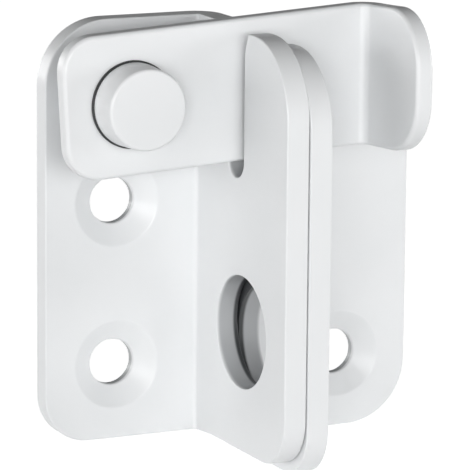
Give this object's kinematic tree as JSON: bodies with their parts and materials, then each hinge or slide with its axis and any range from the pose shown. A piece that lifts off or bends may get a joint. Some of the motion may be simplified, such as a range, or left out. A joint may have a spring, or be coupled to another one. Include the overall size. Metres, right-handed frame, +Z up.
{
  "type": "flip latch",
  "caption": "White padlockable flip latch: slotted angle brackets stand back to back, and a riveted flat arm with a bent finger tab drops into the slots of both.",
  "frame": {"origin": "middle of the frame bracket's pair of screw holes, on the back face that lies against the door frame", "axes": "+X to the right along the closed arm, -Y forward out of the door, +Z up"},
  "size_m": [0.0503, 0.0272, 0.0541],
  "materials": {
    "white_powder_coat": "satin white powder coat with a fine orange peel",
    "zinc_plate": "bright zinc plate, turned",
    "black_nylon": "plain black nylon, matte"
  },
  "bodies": {
    "frame": {"frame_bracket": "white_powder_coat", "pivot_rivet": "white_powder_coat", "spacer_bush": "zinc_plate", "washer_rear": "black_nylon", "washer_front": "black_nylon"},
    "arm": {"latch_arm": "white_powder_coat"},
    "keeper": {"keeper_bracket": "white_powder_coat"}
  },
  "joints": [
    {"name": "arm_swing", "type": "hinge", "parent": "frame", "child": "arm", "pos_m": [-0.0032, -0.0134, 0.0235], "axis": [0, -1, 0], "range_deg": [-6.5, 270]},
    {"name": "keeper_slide", "type": "slide", "parent": "frame", "child": "keeper", "axis": [1, 0, 0], "range_m": [0, 0.0095]}
  ]
}
